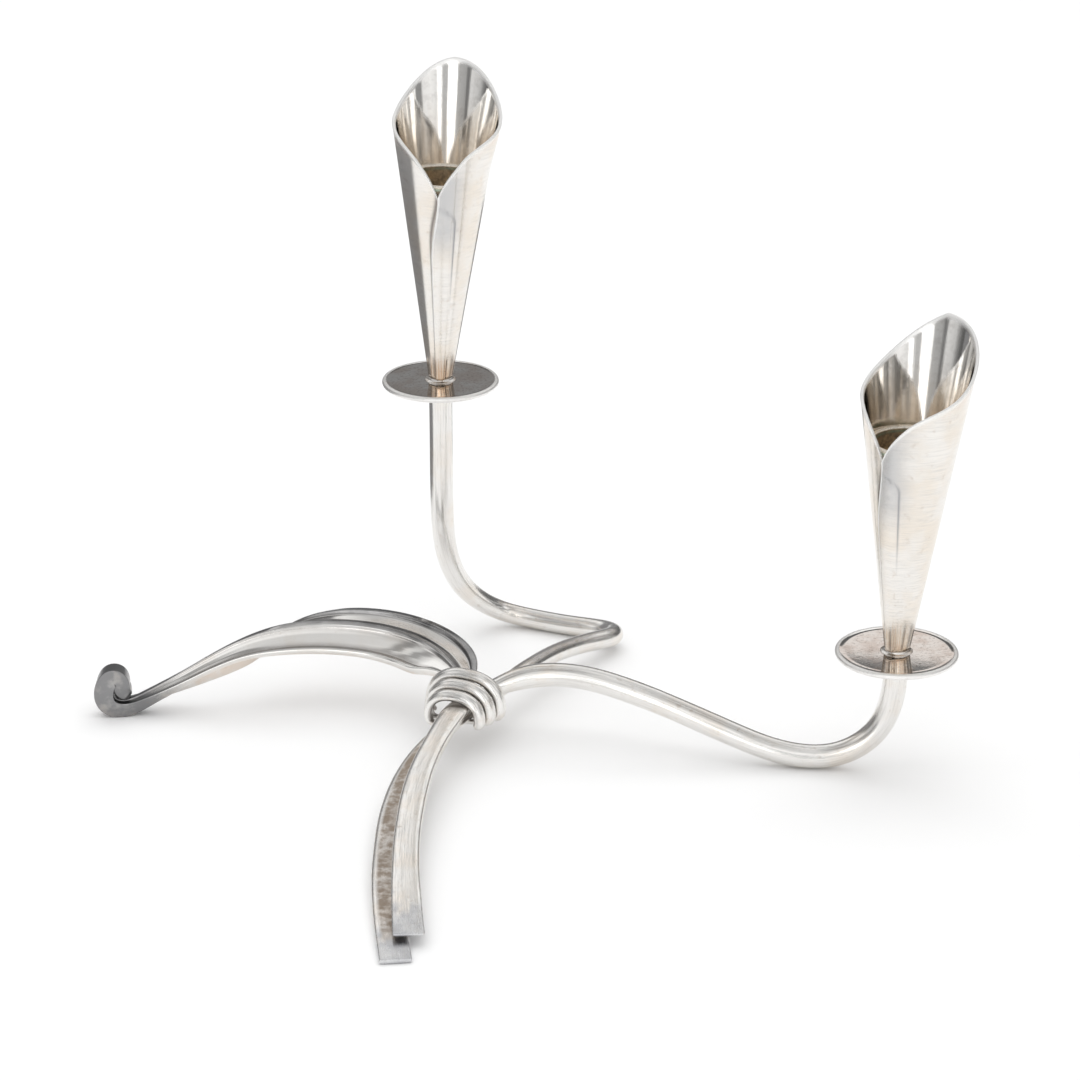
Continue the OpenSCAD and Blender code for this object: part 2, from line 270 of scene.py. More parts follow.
UP = [0, 0, 1]
RIGHT_ROUTE = [
    [-27.5, -98, 3.6], [-28.5, -84, 4], [-29.3, -70, 5], [-29.7, -56, 6],
    [-29.3, -42, 7], [-28.3, -28, 8.5], [-26.2, -14, 10], [-22.9, -2, 12],
    [-19.4, 9, 13.7], [-15.8, 17, 14.4], [-9.4, 22, 15.6], [-1.5, 23.2, 18.8],
    [7.5, 23.5, 20.2], [17.5, 21, 20.5], [28.5, 17.5, 18.5], [40.5, 14, 15],
    [52.5, 11, 10.5], [63.5, 8, 6.5], [74.5, 5.5, 3.4], [85.5, 4.5, 3.2],
    [94.5, 4.5, 7], [100.5, 4.5, 14], [103, 4.5, 24], [103, 4.5, STEM_TOP["right"]],
]
RIGHT_FORMS = [
    [4.1, 0.5, 6], [4, 0.9, 6], [3.7, 1.3, 6], [3.6, 1.5, 5],
    [3.6, 1.7, 5], [3.6, 1.8, 4.5], [3.4, 1.8, 4], [3.1, 1.7, 3.5],
    [3.8, 1.4, 2.8], [3.3, 1.5, 2.3], [2.5, 1.9, 2.2], [3.5, 3.3, 2],
] + [[ROD_R, ROD_R, 2]] * 12
RIGHT_FACES = [UP] * 18 + [
    [-0.1, 0, 1], [-0.3, 0, 1], [-0.6, 0, 0.8], [-1, 0, 0.5], [-1, 0, 0.1], [-1, 0, 0],
]
REAR_ROUTE = [
    [-30.5, -106.5, 0.8], [-32.2, -92, 1.4], [-33.7, -78, 2], [-34.5, -64, 2.6],
    [-34.5, -48, 3.3], [-34, -34, 4.2], [-32, -18, 5.6], [-28, -4, 7.6],
    [-22, 6, 10], [-17, 14, 11.4], [-11.5, 22, 11.6], [-6, 31, 12],
    [-0.5, 41, 12.2], [5.5, 52.5, 11.2], [11.5, 63.5, 9.4], [19, 74, 7.2],
    [26.5, 81, 5.6], [28, 87, 4.6], [23.5, 92, 3.6], [14.5, 96, 3],
    [4.5, 100.5, 2.9], [-5.5, 103.5, 4], [-12.5, 99, 9.5], [-18.5, 94, 17],
    [-22.5, 90.5, 28], [-23.5, 89.5, 40], [-23.5, 89.5, 54], [-23.5, 89.5, 68],
    [-23.5, 89.5, STEM_TOP["rear"]],
]
REAR_FORMS = [
    [4.2, 0.75, 6], [4.2, 0.9, 6], [4.1, 1.1, 6], [4, 1.2, 5],
    [4, 1.3, 5], [3.9, 1.4, 4.5], [3.7, 1.5, 4], [3.3, 1.4, 3.5],
    [3, 1.2, 3], [2.9, 1.2, 2.5], [2.9, 1.5, 2.3], [2.7, 2.2, 2],
    [2.6, 2.6, 2], [2.65, 2.65, 2], [2.7, 2.7, 2], [2.8, 2.8, 2],
] + [[3, 3, 2]] * 6 + [[3.05, 3.05, 2], [3.15, 3.15, 2], [3.3, 3.3, 2]] + [[ROD_R, ROD_R, 2]] * 4
REAR_FACES = [UP] * 20 + [
    [0.1, 0, 1], [0.3, 0, 1], [0.5, 0.1, 0.9], [0.8, 0.2, 0.7], [0.9, 0.1, 0.3], [1, 0, 0.1],
    [1, 0, 0], [1, 0, 0], [1, 0, 0],
]
STEM_SIDES = 72
STEM_RINGS = 620
STEM_GIRTH = 21.0
STEM_END_ROUND = 0.45
FORGED_UNEVEN = 0.045
TAIL_STAIN = 40
# where along the tail the strip of tarnish and painted shadow under the upper tail starts and ends
SHADED_FROM, SHADED_TO = 6, 100


def stem(name, route, forms, faces, seed, tarnish_and_shade_depth):
    """A forged stem, from its tail to its top; the last argument is how strongly its strip under
    the other tail is painted brown, as tarnish and painted shadow.
    """
    t = even_steps(route, STEM_RINGS)
    place, side, face = route_frames(route, faces, t)
    s = lengths(place)
    form = spline(forms, t)
    angle = (np.arange(STEM_SIDES) + 0.5) * 2 * math.pi / STEM_SIDES
    shrink = end_round(s, STEM_END_ROUND, both=False)
    # hand forging leaves the section a little uneven
    uneven = FORGED_UNEVEN * (1 + ripple(s[:, None] * 0.35, 2 * np.cos(angle)[None, :], seed))
    a = (form[:, 0] - shrink)[:, None] - uneven
    b = (form[:, 1] - shrink)[:, None] - uneven * np.minimum(1, form[:, 1:2] / 3)
    x, y = rounded(a, b, form[:, 2:3], angle)
    rings = place[:, None] + x[..., None] * side[:, None] + y[..., None] * face[:, None]
    girth = angle / (2 * math.pi) * STEM_GIRTH
    uv = np.stack(np.broadcast_arrays(girth[None, :], s[:, None]), -1)
    tail = 1 - smooth(s / TAIL_STAIN)
    # the lower tail keeps its tarnish where the upper one covers it from polishing,
    # and the same strip is painted darker as the upper tail's shadow
    across = smooth((np.cos(angle) + 0.6) / 0.12) * smooth(np.sin(angle) * 3)
    along = smooth((s - SHADED_FROM) / 10) * (1 - smooth((s - SHADED_TO) / 20))
    tarnish_and_shade = tarnish_and_shade_depth * across[None, :] * along[:, None]
    return skin(name, rings, uv, {"tail": tail[:, None], "tarnish_and_shade": tarnish_and_shade})


# ---------------------------------------------------------------- leaf

LEAF_ROUTE = [
    [-16, 20.5, 17.9], [-16.7, 24.5, 18.2], [-18.9, 29.5, 18.7], [-22.5, 38, 19.4],
    [-30.5, 44.5, 21.6], [-42.5, 47.5, 23.8], [-56.5, 48, 24.6], [-68.5, 47, 24],
    [-79.5, 45.5, 21], [-88.5, 44, 16.6], [-97.5, 42.5, 11], [-106.5, 41, 5.6],
    [-113, 40, 1.8], [-118.2, 39.5, 2.9], [-119.5, 39.5, 7.6], [-117.4, 40, 12.8],
    [-113.8, 40.3, 11.6], [-114.2, 40.6, 7.6], [-111.6, 41, 6.2],
]
# near half width, far half width, near slope, far slope, thickness, bead height; the last three
# rows and the last two points of the route close the curl, which the CAD leaves more open
LEAF_FORMS = [
    [2.6, 3, 8, 8, 1.2, 0.1], [2, 4, 10, 4, 1.2, 0.1], [4.8, 8, 10, -6, 1.4, 0.9],
    [9.8, 9, 24, -16, 1.6, 1.1], [9.6, 8.8, 38, -20, 1.6, 1.1], [9, 8.4, 46, -18, 1.6, 1.1],
    [8.6, 8.4, 48, -6, 1.6, 1.1], [8, 8.4, 49, 34, 1.6, 1], [6, 8.6, 46, 80, 1.7, 0.9],
    [4.5, 7.6, 45, 85, 1.8, 0.7], [3.6, 5.4, 40, 75, 2.2, 0.5], [3, 3.6, 20, 35, 3, 0.3],
    [2.6, 2.8, 8, 8, 4.2, 0.2], [2.7, 2.7, 0, 0, 5, 0.1], [2.9, 2.9, 0, 0, 5.6, 0.1],
    [3, 3, 0, 0, 5.2, 0.1], [2.9, 2.9, 0, 0, 4.8, 0.1], [2.7, 2.7, 0, 0, 4.4, 0.1],
    [2.3, 2.3, 0, 0, 3, 0.1],
]
LEAF_FACES = [UP] * 13 + [
    [0.6, 0, 0.8], [1, 0, 0.1], [0.7, 0, -0.7], [-0.3, 0, -1], [-1, 0, -0.4], [-0.4, 0, -1],
]
LEAF_RINGS = 420
LEAF_GIRTH = 44
LEAF_STEPS = 4.5
LEAF_END_ROUND = 1.2
# how far the curled tip stays off the side of the CAD's box and off the table
TIP_CLEAR, TABLE_CLEAR = 0.02, 0.03
CURL_LENGTH, CURL_FADE = 44, 16


def leaf_outline(form):
    """Outline of the leaf and marks on it: a rolled rim on both edges, a low rib, flutes between.

    Each corner holds the half it stands on, its share of that half's width, its height, and how
    much it belongs to a groove, a rim and the top; dark reflections are painted on the rim share.
    They are cut into short steps and softened.
    """
    near, far, dn, df, thick, b = (form[:, k] for k in range(6))
    t = thick / 2
    floor = t - np.minimum(0.58 * t, 0.46)
    foot = t - np.minimum(0.34 * t, 0.27)
    n, f = (-1, near, np.radians(dn)), (1, far, np.radians(df))
    corners = [
        (n, 1, -t, 0, 0, 0), (n, 1, t + 0.35 * b, 0, 0, 1), (n, 0.965, t + 0.95 * b, 0, 0, 1),
        (n, 0.9, t + b, 0, 0.2, 1), (n, 0.84, t + 0.6 * b, 0, 0.9, 1), (n, 0.75, foot, 1, 0.3, 1),
        (n, 0.55, floor, 0, 0, 1), (n, 0.3, floor, 0, 0, 1), (n, 0.1, foot, 0.9, 0, 1),
        (n, 0.04, t + 0.35 * b, 0, 0.5, 1), (f, 0, t + 0.5 * b, 0, 1, 1),
        (f, 0.07, t + 0.45 * b, 0, 1, 1), (f, 0.25, foot, 0.5, 1, 1),
        (f, 0.3, floor, 0.8, 0, 1), (f, 0.62, floor, 0, 0.3, 1),
        (f, 0.68, foot, 1, 1, 1), (f, 0.72, t + 0.55 * b, 0, 1, 1), (f, 0.76, t + 0.6 * b, 0, 1, 1),
        (f, 0.97, t - 0.1 * b, 0, 1, 1), (f, 1, 0.3 * t, 0, 0.6, 0.5), (f, 1, -t, 0, 0.2, 0),
        (f, 0.6, -t, 0, 0, 0), (f, 0.2, -t, 0, 0, 0), (n, 0.2, -t, 0, 0, 0), (n, 0.6, -t, 0, 0, 0),
    ]
    points = []
    for (way, width, slope), share, h, *marks in corners:
        x = way * (share * width * np.cos(slope) + h * np.sin(slope))
        y = h * np.cos(slope) - share * width * np.sin(slope)
        points.append(np.stack([x, y] + [m + 0 * x for m in marks], -1))
    points = np.stack(points, 1)
    after = np.roll(points, -1, 1)
    spans = np.linalg.norm((after - points)[..., :2], axis=-1).max(0)
    steps = [np.arange(k) / k for k in np.maximum(3, np.round(spans * LEAF_STEPS)).astype(int)]
    cut = np.concatenate([
        points[:, i : i + 1] * (1 - f[None, :, None]) + after[:, i : i + 1] * f[None, :, None]
        for i, f in enumerate(steps)
    ], 1)
    for _ in range(4):
        cut = (np.roll(cut, 1, 1) + 2 * cut + np.roll(cut, -1, 1)) / 4
    return cut[..., :2], cut[..., 2:]


def leaf():
    t = even_steps(LEAF_ROUTE, LEAF_RINGS)
    place, side, face = route_frames(LEAF_ROUTE, LEAF_FACES, t)
    s = lengths(place)
    section, marks = leaf_outline(spline(LEAF_FORMS, t))
    around = np.arange(section.shape[1]) / section.shape[1]
    middle = section.mean(1, keepdims=True)
    rim = np.abs(section - middle).max(1, keepdims=True)
    shrink = end_round(s, LEAF_END_ROUND)[:, None, None] / np.maximum(rim, 1.3)
    section = middle + (section - middle) * (1 - shrink)
    rings = place[:, None] + section[..., :1] * side[:, None] + section[..., 1:] * face[:, None]
    # small dents, but none near the tip
    dent = 0.03 * (1 + ripple(s[:, None] * 0.5, around[None, :] * 25, 5))
    dent = dent * (s < s[-1] - 50)[:, None]
    rings = rings - dent[..., None] * face[:, None]
    # the tip is worn flat where it stands on the table
    rings = np.maximum(rings, [cad_low.x / MM + TIP_CLEAR, -np.inf, TABLE_CLEAR])
    uv = np.stack(np.broadcast_arrays(around[None, :] * LEAF_GIRTH, s[:, None]), -1)
    # the rim marks carry painted dark reflections along the rolled rims and the rib
    return skin("leaf_silver", rings, uv, {
        "groove": marks[:, :, 0], "rim": marks[:, :, 1], "top": marks[:, :, 2],
        "tip": smooth((s - s[-1] + CURL_LENGTH) / CURL_FADE)[:, None],
    })


# ---------------------------------------------------------------- binding

KNOT_START = np.array([-18.5, 15, 10.4])
KNOT_HEADING = math.radians(66)
KNOT_RISE, KNOT_R, KNOT_GROWTH = 0.5, 8.5, 1.3
KNOT_FLOOR, KNOT_SAG, KNOT_END, KNOT_STEP, RUN_THICK = 8.2, 1.2, 0.17, 0.18, 0.6
KNOT_RINGS = 420
STRIP_GIRTH = 9.5


def binding():
    back = np.array([math.cos(KNOT_HEADING), math.sin(KNOT_HEADING), 0])
    aside = np.array([back[1], -back[0], 0])

    def step(s):
        turn = np.floor(s)
        f = s - turn
        shift = np.maximum(0, (f + KNOT_STEP - 1) / KNOT_STEP) - np.maximum(0, 1 - f / KNOT_STEP)
        return np.clip(turn + shift / 2, 0, TURNS - 1)

    def point(s):
        k = step(s)
        rise = KNOT_RISE * k
        r = KNOT_R + KNOT_GROWTH * k - STRIP_THICK
        drop = KNOT_START[2] + rise - KNOT_FLOOR - STRIP_THICK * RUN_THICK
        z = 0 * r
        outline = np.stack([
            np.stack(p, -1) for p in [
                (z, r), (r * 0.48, r * 0.98), (r * 0.92, r * 0.78), (r * 1.14, r * 0.4),
                (r * 1.16, z), (r * 1.1, -drop), (r * 0.8, -drop), (r * 0.4, -drop), (z, -drop),
                (-r * 0.4, -drop), (-r * 0.8, -drop - KNOT_SAG), (-r * 1.12, -drop - KNOT_SAG),
                (-r * 1.14, z), (-r * 1.08, r * 0.4), (-r * 0.84, r * 0.76), (-r * 0.44, r * 0.97),
            ]
        ], 1)
        p = np.stack([
            closed_spline(outline[i : i + 1], [(TURNS + 0.5 - v) % 1])[0, 0]
            for i, v in enumerate(s)
        ])
        return (
            KNOT_START + back * (TURN_PITCH * k)[:, None] + aside * p[:, :1]
            + np.stack([z, z, p[:, 1] + rise], -1)
        )

    s = np.linspace(KNOT_END, TURNS - KNOT_END, KNOT_RINGS)
    here = point(s)
    d = unit(point(s + 0.004) - point(s - 0.004))
    up = unit(np.cross(back, d))
    level = np.cross(d, up)
    across = unit(level + KNOT_GROWTH / TURN_PITCH * up)
    out = np.cross(across, d)
    share = 1 - (1 - RUN_THICK) * smooth((np.abs(s - np.floor(s) - 0.5) - 0.24) / 0.12)
    run = lengths(here)
    shrink = (1 - end_round(run, 0.7) / 0.9)[:, None]
    arc = np.radians(np.linspace(0, 180, 25))
    # the strip's section: a rounded back, and a flat face that is a little narrower
    half, flat = STRIP_WIDTH / 2, STRIP_WIDTH / 2 - 0.2
    x = np.r_[half * np.cos(arc), np.linspace(-flat, flat, 7)]
    y = np.r_[STRIP_THICK * (0.3 + 0.7 * np.sin(arc)), np.zeros(7)]
    width = (0.9 + 0.1 * share)[:, None] * shrink
    uneven = 0.03 * ripple(run[:, None] * 0.6, x[None, :], 9)
    core = 0.3 * STRIP_THICK
    lift = (y[None, :] - core) * shrink * share[:, None] + core * share[:, None]
    rings = (
        here[:, None] + (x[None, :] * width)[..., None] * across[:, None]
        + (lift - np.abs(uneven))[..., None] * out[:, None]
    )
    edge = np.clip(1 - y / STRIP_THICK, 0, 1) ** 1.5
    girth = np.linspace(0, STRIP_GIRTH, len(x))
    uv = np.stack(np.broadcast_arrays(girth[None, :], run[:, None]), -1)
    return skin("binding_silver", rings, uv, {"groove": edge[None, :]})


# ---------------------------------------------------------------- round pieces

LATHE_SIDES = 192


def leaned(x, y, z, lean):
    """Points tipped towards +X by an angle about the origin."""
    return np.stack([
        x * math.cos(lean) + z * math.sin(lean), y, z * math.cos(lean) - x * math.sin(lean),
    ], -1)


def lathe(name, profile, place, lean=0.0, uneven=0.0, seed=1, values=None):
    """A closed profile of (radius, height) turned round an upright axis at place."""
    p = np.asarray(profile, float)
    angle = np.arange(LATHE_SIDES) * 2 * math.pi / LATHE_SIDES
    wobble = 1 + uneven * ripple(3 * np.cos(angle), 3 * np.sin(angle), seed)[:, None]
    r = p[None, :, 0] * wobble
    z = p[None, :, 1] + 0 * r
    x, y = r * np.cos(angle)[:, None], r * np.sin(angle)[:, None]
    rings = leaned(x, y, z, lean) + np.asarray(place)
    girth = lengths(p)
    arc = angle * p[:, 0].max()
    uv = np.stack(np.broadcast_arrays(girth[None, :], arc[:, None]), -1)
    spread = {k: np.asarray(v)[None, :] for k, v in (values or {}).items()}
    return skin(name, rings, uv, spread, closed=True)


def fine(corners, step=0.25, rounds=2):
    """A closed profile cut into short steps, its corners softened."""
    p = np.asarray(corners, float)
    closed = np.vstack([p, p[:1]])
    s = lengths(closed)
    n = int(s[-1] / step)
    at = np.linspace(0, s[-1], n, endpoint=False)
    p = np.stack([np.interp(at, s, closed[:, k]) for k in range(2)], -1)
    for _ in range(rounds):
        p = (np.roll(p, 1, 0) + 2 * p + np.roll(p, -1, 0)) / 4
    return p


def drip_pan(side):
    top = [
        (PIN_HOLE_R, 0), (5, 0), (8, 0), (12, 0), (14.6, 0), (15.3, 0.02),
        (PAN_R - 1.3, 0.08), (PAN_R - 0.7, 0.15), (PAN_R - 0.2, -0.05), (PAN_R, -0.7),
        (PAN_R - 0.3, -1.25), (PAN_R - 0.9, -PAN_THICK), (PIN_HOLE_R, -PAN_THICK),
    ]
    profile = fine(top[::-1])
    # the outer edge, which the material keeps cleaner and paints near white as a highlight
    rim = smooth((profile[:, 0] - PAN_R + 1.5) / 0.5)
    seed = 21 if side == "right" else 22
    return lathe(
        "pan_%s_silver" % side, profile, PLACE[side], uneven=0.002, seed=seed, values={"rim": rim}
    )


def collar(side):
    bead = [
        (PIN_HOLE_R, 0), (PIN_HOLE_R, COLLAR_H), (COLLAR_R - 0.35, COLLAR_H),
        (COLLAR_R, COLLAR_H - 0.3), (COLLAR_R, 0.5), (COLLAR_R + 0.25, 0.28),
        (COLLAR_R + 0.75, 0.12), (COLLAR_R + 0.9, 0),
    ]
    seed = 31 if side == "right" else 32
    profile = fine(bead, 0.12, 1)
    return lathe("collar_%s_solder" % side, profile, PLACE[side], uneven=0.03, seed=seed)


def cone_r(h):
    return CUP_FOOT_R + CUP_FLARE * h


def socket(side):
    base = SOCKET_H - SOCKET_DEPTH - SOCKET_FLOOR
    skin_gap = SHEET + 0.1
    bore = [
        (0.4, base + SOCKET_FLOOR), (0.4, base), (cone_r(base) - skin_gap, base),
        (cone_r(SOCKET_H) - skin_gap, SOCKET_H - 0.4),
        (cone_r(SOCKET_H) - skin_gap - 0.3, SOCKET_H),
        (BORE_R + 0.35, SOCKET_H), (BORE_R, SOCKET_H - 0.35), (BORE_R, base + SOCKET_FLOOR + 0.4),
        (BORE_R - 0.5, base + SOCKET_FLOOR),
    ]
    profile = fine(bore[::-1], 0.15, 1)
    # the lip band, which the material paints pale as a highlight
    lip = np.exp(-(((profile[:, 1] - SOCKET_H) / 0.55) ** 2))
    verdigris = np.exp(-(((profile[:, 1] - SOCKET_H + 1.1) / 0.4) ** 2))
    return lathe(
        "socket_%s_lining" % side, profile, PLACE[side], LEAN,
        values={"lip": lip, "verdigris": verdigris},
    )


# ---------------------------------------------------------------- cups

CUP_COLUMNS = 420
CUP_ROWS = 90
LIP_DROP = SHEET * 0.53
FLARE = {"right": 0.0, "rear": 0.9}


def lip_height(angle, tip):
    a = np.where(angle > 360, 0, np.where(angle > 180, 360 - angle, np.maximum(0, angle)))
    soft = 1 - np.exp(-a / 32)
    curve = NOTCH_H + LIP_RISE * (0.55 * soft + 0.45 * ((1 - np.cos(np.radians(a))) / 2) ** 3)
    dip = np.where(angle > 180, np.maximum(0, np.sin(np.radians(2 * angle))), 0)
    return curve + tip[1] * np.exp(-np.abs(angle - tip[0]) / 18) - tip[2] * dip


def cup(side):
    u = np.linspace(0, 1, CUP_COLUMNS)
    # closer columns round off the two free edges
    close = np.array([0.0001, 0.0003, 0.0007, 0.0013])
    u = np.unique(np.r_[u, close, 1 - close])
    v = np.linspace(0, 1, CUP_ROWS)
    start = LAP_OUTER * smooth((1 - v) / 0.35)
    angle = start[None, :] + u[:, None] * (360 + LAP_INNER - start[None, :])
    top = lip_height(angle, TIP[side])
    h = FOOT_H + v[None, :] * (top - FOOT_H)
    lift = STAND_OFF * (1 - smooth((angle - 19) / 16))
    # the flap is pressed down round the end of the one beneath it, which leaves a rounded crease
    crease_at = LAP_INNER - 30 * smooth((h - NOTCH_H + 9) / 7.5) ** 2
    crease = 0.3 * np.exp(-(((angle - crease_at - 5) / 2.0) ** 2)) * smooth((angle - 2) / 5)
    lift = lift - crease * (h < NOTCH_H + 1)
    # a line along the crease that the material paints darker, as painted shade
    crease_shade = np.exp(-(((angle - crease_at - 7.5) / 1.5) ** 2))
    crease_shade = crease_shade * smooth((NOTCH_H - 1 - h) / 2) * smooth((h - 22) / 20)
    wave = 0.06 * (ripple(np.radians(angle) * 3, h * 0.12, 41 if side == "right" else 42) - 1)
    # the rear cup's lip bends outwards a little on its right
    flare = FLARE[side] * np.exp(-(((angle - 88) / 34) ** 2)) * smooth(1 - (top - h) / 16)
    r = cone_r(h) + lift + wave + flare
    # rounded free edges: the sheet thins to nothing over its last half thickness
    reach = np.radians(angle - angle[:1]) * r, np.radians(angle[-1:] - angle) * r
    edge = np.clip(np.minimum(*reach) / (SHEET / 2), 0, 1)
    half = SHEET / 2 * np.sqrt(1 - (1 - edge) ** 2) * 0.999 + 0.0004
    middle = r - SHEET / 2
    outer, inner = middle + half, middle - half
    lip_arc = np.linspace(0, math.pi, 9)[1:-1]
    lip_r = middle[:, -1:] + half[:, -1:] * np.cos(lip_arc)[None, :]
    lip_h = h[:, -1:] - LIP_DROP + half[:, -1:] * 0.8 * np.sin(lip_arc)[None, :]
    low = np.minimum(h, h[:, -1:] - LIP_DROP)
    radius = np.hstack([outer, lip_r, inner[:, ::-1]])
    height = np.hstack([low, lip_h, low[:, ::-1]])
    turn = np.hstack([angle, np.repeat(angle[:, -1:], len(lip_arc), 1), angle[:, ::-1]])
    across = np.linspace(0, 1, len(lip_arc))[None, :] + 0 * lip_r
    inside = np.hstack([0 * outer, across, 1 + 0 * inner])
    a = np.radians(turn + NOTCH_ANGLE[side])
    x, y = radius * np.cos(a), radius * np.sin(a)
    rings = leaned(x, y, height, LEAN) + PLACE[side]
    uv = np.stack([height, np.radians(turn) * 10], -1)
    # a band at the lip, which the material paints near white as a highlight
    lip = np.exp(-(((height - top[:, -1:]) / 1.15) ** 4))
    free_edge = np.hstack([start, np.full(len(lip_arc), start[-1]), start[::-1]])[None, :]
    past_edge = turn - free_edge - 1.2
    # a dark line just beside the outer flap's free edge: the flap's shadow, painted
    flap_edge_shadow = np.exp(-(((past_edge - 357.6) / 2.3) ** 2))
    # the outer flap's free edge, which the material paints near white as a highlight
    flap_edge_highlight = np.exp(-((past_edge / 2.0) ** 4))
    return skin("cup_%s_silver" % side, rings, uv, {
        "inside": inside, "height": height / 90, "lip": lip,
        "seam": flap_edge_shadow * (1 - inside),
        "flap_highlight": flap_edge_highlight * (1 - inside) * smooth((height - 8) / 12),
        "crease": np.hstack([crease_shade, 0 * lip_r, 0 * crease_shade]),
    })


# ---------------------------------------------------------------- materials


class Graph:
    """A short way to write a node tree. Inputs are given by name, or as i0, i1 by number."""

    def __init__(self, tree):
        self.tree = tree
        tree.nodes.clear()

    def node(self, kind, settings=None, **inputs):
        n = self.tree.nodes.new(kind)
        for key, value in (settings or {}).items():
            setattr(n, key, value)
        for key, value in inputs.items():
            by_number = key[0] == "i" and key[1:].isdigit()
            self.set(n.inputs[int(key[1:]) if by_number else key.replace("_", " ")], value)
        return n

    def set(self, socket, value):
        if isinstance(value, bpy.types.NodeSocket):
            self.tree.links.new(value, socket)
        else:
            socket.default_value = value

    def math(self, operation, a, b):
        return self.node("ShaderNodeMath", {"operation": operation}, i0=a, i1=b).outputs[0]

    def times(self, a, b):
        return self.math("MULTIPLY", a, b)

    def plus(self, a, b):
        return self.math("ADD", a, b)

    def mix(self, factor, a, b, blend="MIX"):
        settings = {"data_type": "RGBA", "blend_type": blend, "clamp_factor": True}
        n = self.node("ShaderNodeMix", settings)
        self.set(n.inputs["Factor"], factor)
        self.set(n.inputs[6], a)
        self.set(n.inputs[7], b)
        return n.outputs[2]

    def fade(self, value, low, high, to_low=0.0, to_high=1.0):
        n = self.node("ShaderNodeMapRange", {"interpolation_type": "SMOOTHSTEP"})
        for socket, x in zip(n.inputs, (value, low, high, to_low, to_high)):
            self.set(socket, x)
        return n.outputs[0]

    def noise(self, vector, scale, detail=4.0, roughness=0.55):
        inputs = {"Vector": vector, "Scale": scale, "Detail": detail, "Roughness": roughness}
        return self.node("ShaderNodeTexNoise", **inputs).outputs["Fac"]

    def stretch(self, vector, scale):
        return self.node("ShaderNodeMapping", Vector=vector, Scale=scale).outputs[0]

    def attribute(self, name):
        return self.node("ShaderNodeAttribute", {"attribute_name": name}).outputs["Fac"]


def rgb(r, g, b):
    return (r, g, b, 1.0)


SILVER = rgb(0.86, 0.845, 0.82)
BROWN = rgb(0.42, 0.31, 0.21)


def metal(name, build):
    """A metal that build(graph, uv, place) gives a colour, roughness, relief and relief depth.

    uv runs over the piece in about millimetres, and place and the depth are in metres.
    """
    material = bpy.data.materials.new(name)
    material.use_nodes = True
    g = Graph(material.node_tree)
    place = g.node("ShaderNodeTexCoord").outputs["Object"]
    uv = g.node("ShaderNodeUVMap", {"uv_map": "lay"}).outputs[0]
    colour, rough, relief, depth = build(g, uv, place)
    bump = g.node("ShaderNodeBump", Strength=1.0, Distance=depth, Height=relief)
    normal = bump.outputs[0]
    shader = g.node("ShaderNodeBsdfPrincipled", Metallic=1.0, Roughness=rough, Normal=normal)
    g.set(shader.inputs["Base Color"], colour)
    g.node("ShaderNodeOutputMaterial", Surface=shader.outputs[0])
    return material


def stem_look(g, uv, place):
    streak = g.noise(g.stretch(uv, (2.4, 0.09, 1)), 1.0, 6, 0.65)
    fine_line = g.noise(g.stretch(uv, (9, 0.35, 1)), 1.0, 3, 0.6)
    wear = g.noise(place, 330, 6, 0.7)
    patch = g.noise(place, 95, 5, 0.6)
    spots = g.fade(g.noise(place, 520, 4, 0.6), 0.6, 0.72)
    tail, tarnish_and_shade = g.attribute("tail"), g.attribute("tarnish_and_shade")
    smear = g.noise(g.stretch(uv, (0.28, 0.07, 1)), 1.0, 4, 0.5)
    cloud = g.fade(g.plus(tail, g.times(smear, 1.4)), 1.28, 1.6)
    cloud = g.times(cloud, g.fade(tail, 0.02, 0.3))
    cloud = g.times(cloud, g.fade(patch, 0.35, 0.6, 0.5, 1.0))
    warm = g.times(g.fade(patch, 0.42, 0.68), 0.35)
    colour = g.mix(warm, SILVER, rgb(0.8, 0.69, 0.57))
    colour = g.mix(g.times(spots, 0.3), colour, BROWN)
    colour = g.mix(g.times(cloud, 0.55), colour, rgb(0.38, 0.42, 0.49))
    colour = g.mix(g.fade(streak, 0.42, 0.75, 0.0, 0.4), colour, rgb(0.5, 0.48, 0.46))
    # tarnish and a painted shadow of the upper tail, on the lower tail's strip beneath it
    crust = g.times(tarnish_and_shade, g.fade(wear, 0.35, 0.6, 0.35, 0.95))
    colour = g.mix(crust, colour, rgb(0.36, 0.29, 0.23))
    rough = g.plus(g.fade(streak, 0.2, 0.8, 0.13, 0.27), g.times(crust, 0.25))
    rough = g.plus(rough, g.times(cloud, 0.1))
    relief = g.plus(g.times(streak, 0.4), g.times(fine_line, 0.25))
    relief = g.plus(relief, g.times(wear, 0.3))
    return colour, rough, relief, 0.00004


